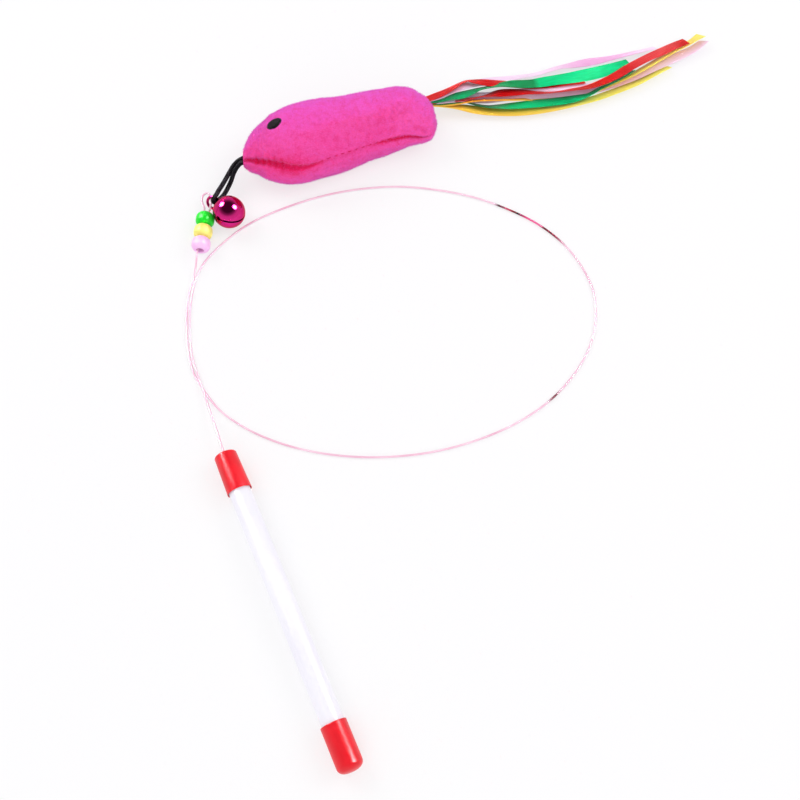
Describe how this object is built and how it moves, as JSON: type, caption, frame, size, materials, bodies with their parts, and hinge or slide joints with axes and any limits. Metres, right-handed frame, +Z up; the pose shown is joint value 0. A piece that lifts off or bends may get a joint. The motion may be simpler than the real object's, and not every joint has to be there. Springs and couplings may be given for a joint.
{
  "type": "cat teaser wand",
  "caption": "Plastic rod handle with a springy wire ending in beads, a round bell and a stuffed fish with satin ribbons, to wave in front of a cat.",
  "frame": {"origin": "middle of the whole toy as it lies, on the surface that it lies on, the free wire left out", "axes": "+Z up from the surface; +Y from the handle's rear end towards the fish, along the longest extent; +X towards the ribbons' tips"},
  "size_m": [0.2713, 0.3802, 0.0289],
  "materials": {
    "tube_white": "smooth white extruded plastic",
    "cap_crimson": "soft glossy crimson vinyl",
    "plug_grey": "moulded plug, hidden",
    "wire_pink": "pink coated spring wire with dark worn patches",
    "bead_lilac": "opaque moulded bead",
    "bead_yellow": "opaque moulded bead",
    "bead_green": "opaque moulded bead",
    "bell_magenta": "mirror-bright magenta plating",
    "pellet_steel": "plain steel ball",
    "elastic_black": "braided round elastic",
    "plush_pink": "short hot pink plush",
    "plush_light": "short pink plush",
    "stuffing_white": "loose polyester filling",
    "thread_crimson": "sewing thread",
    "eye_black": "sewn felt patch",
    "satin_red": "satin ribbon",
    "satin_green": "satin ribbon",
    "satin_yellow": "satin ribbon",
    "satin_pink": "satin ribbon"
  },
  "bodies": {
    "wand": {"handle_tube": "tube_white", "front_cap": "cap_crimson", "rear_cap": "cap_crimson", "wire_plug": "plug_grey", "wire_tail": "wire_pink", "wire": "wire_pink", "wire_eye": "wire_pink"},
    "near_bead": {"bead_pink": "bead_lilac"},
    "middle_bead": {"bead_yellow": "bead_yellow"},
    "far_bead": {"bead_green": "bead_green"},
    "bell": {"bell_upper_shell": "bell_magenta", "bell_lower_shell": "bell_magenta", "bell_ring": "bell_magenta"},
    "pellet": {"bell_pellet": "pellet_steel"},
    "tether": {"elastic_loop": "elastic_black"},
    "tether_end": {"elastic_knot": "elastic_black"},
    "fish": {"fish_upper_panel": "plush_pink", "fish_lower_panel": "plush_light", "fish_stuffing": "stuffing_white", "fish_seam_stitches": "thread_crimson", "fish_mouth_stitches": "thread_crimson", "fish_eye_upper": "eye_black", "fish_eye_lower": "eye_black"},
    "tassel": {"tassel_binding": "plush_pink", "ribbon_red_long": "satin_red", "ribbon_red_folded": "satin_red", "ribbon_green_wide": "satin_green", "ribbon_green_low": "satin_green", "ribbon_yellow_long": "satin_yellow", "ribbon_yellow_thin": "satin_yellow", "ribbon_pink_back": "satin_pink", "ribbon_pink_low": "satin_pink"}
  },
  "joints": [
    {"name": "near_bead_spin", "type": "hinge", "parent": "wand", "child": "near_bead", "pos_m": [-0.13003, 0.06268, 0.0046], "axis": [0.0628, 0.998, 0], "continuous": true},
    {"name": "middle_bead_spin", "type": "hinge", "parent": "wand", "child": "middle_bead", "pos_m": [-0.13003, 0.06268, 0.0046], "axis": [0.0628, 0.998, 0], "continuous": true},
    {"name": "far_bead_spin", "type": "hinge", "parent": "wand", "child": "far_bead", "pos_m": [-0.13003, 0.06268, 0.0046], "axis": [0.0628, 0.998, 0], "continuous": true},
    {"name": "bell_swing", "type": "hinge", "parent": "wand", "child": "bell", "pos_m": [-0.1266, 0.07815, 0.008], "axis": [0, 0, 1], "range_deg": [0, 45]},
    {"name": "pellet_rattle", "type": "slide", "parent": "bell", "child": "pellet", "axis": [0, 0, 1], "range_m": [0, 0.0108]},
    {"name": "tether_swing", "type": "hinge", "parent": "bell", "child": "tether", "pos_m": [-0.12411, 0.07877, 0.00987], "axis": [0, 0, 1], "range_deg": [-3, 60]},
    {"name": "elastic_stretch", "type": "slide", "parent": "tether", "child": "tether_end", "axis": [0.5741, 0.8181, 0.0338], "range_m": [0, 0.015], "stiffness_N_per_m": 60, "deforming": ["elastic_loop"]},
    {"name": "fish_wag", "type": "hinge", "parent": "tether_end", "child": "fish", "pos_m": [-0.105, 0.106, 0.011], "axis": [0, 0, 1], "range_deg": [-6, 50], "deforming": ["elastic_loop"]},
    {"name": "tassel_lift", "type": "hinge", "parent": "fish", "child": "tassel", "pos_m": [-0.01768, 0.13693, 0.00521], "axis": [0.5669, -0.8238, 0], "range_deg": [0, 60]}
  ]
}
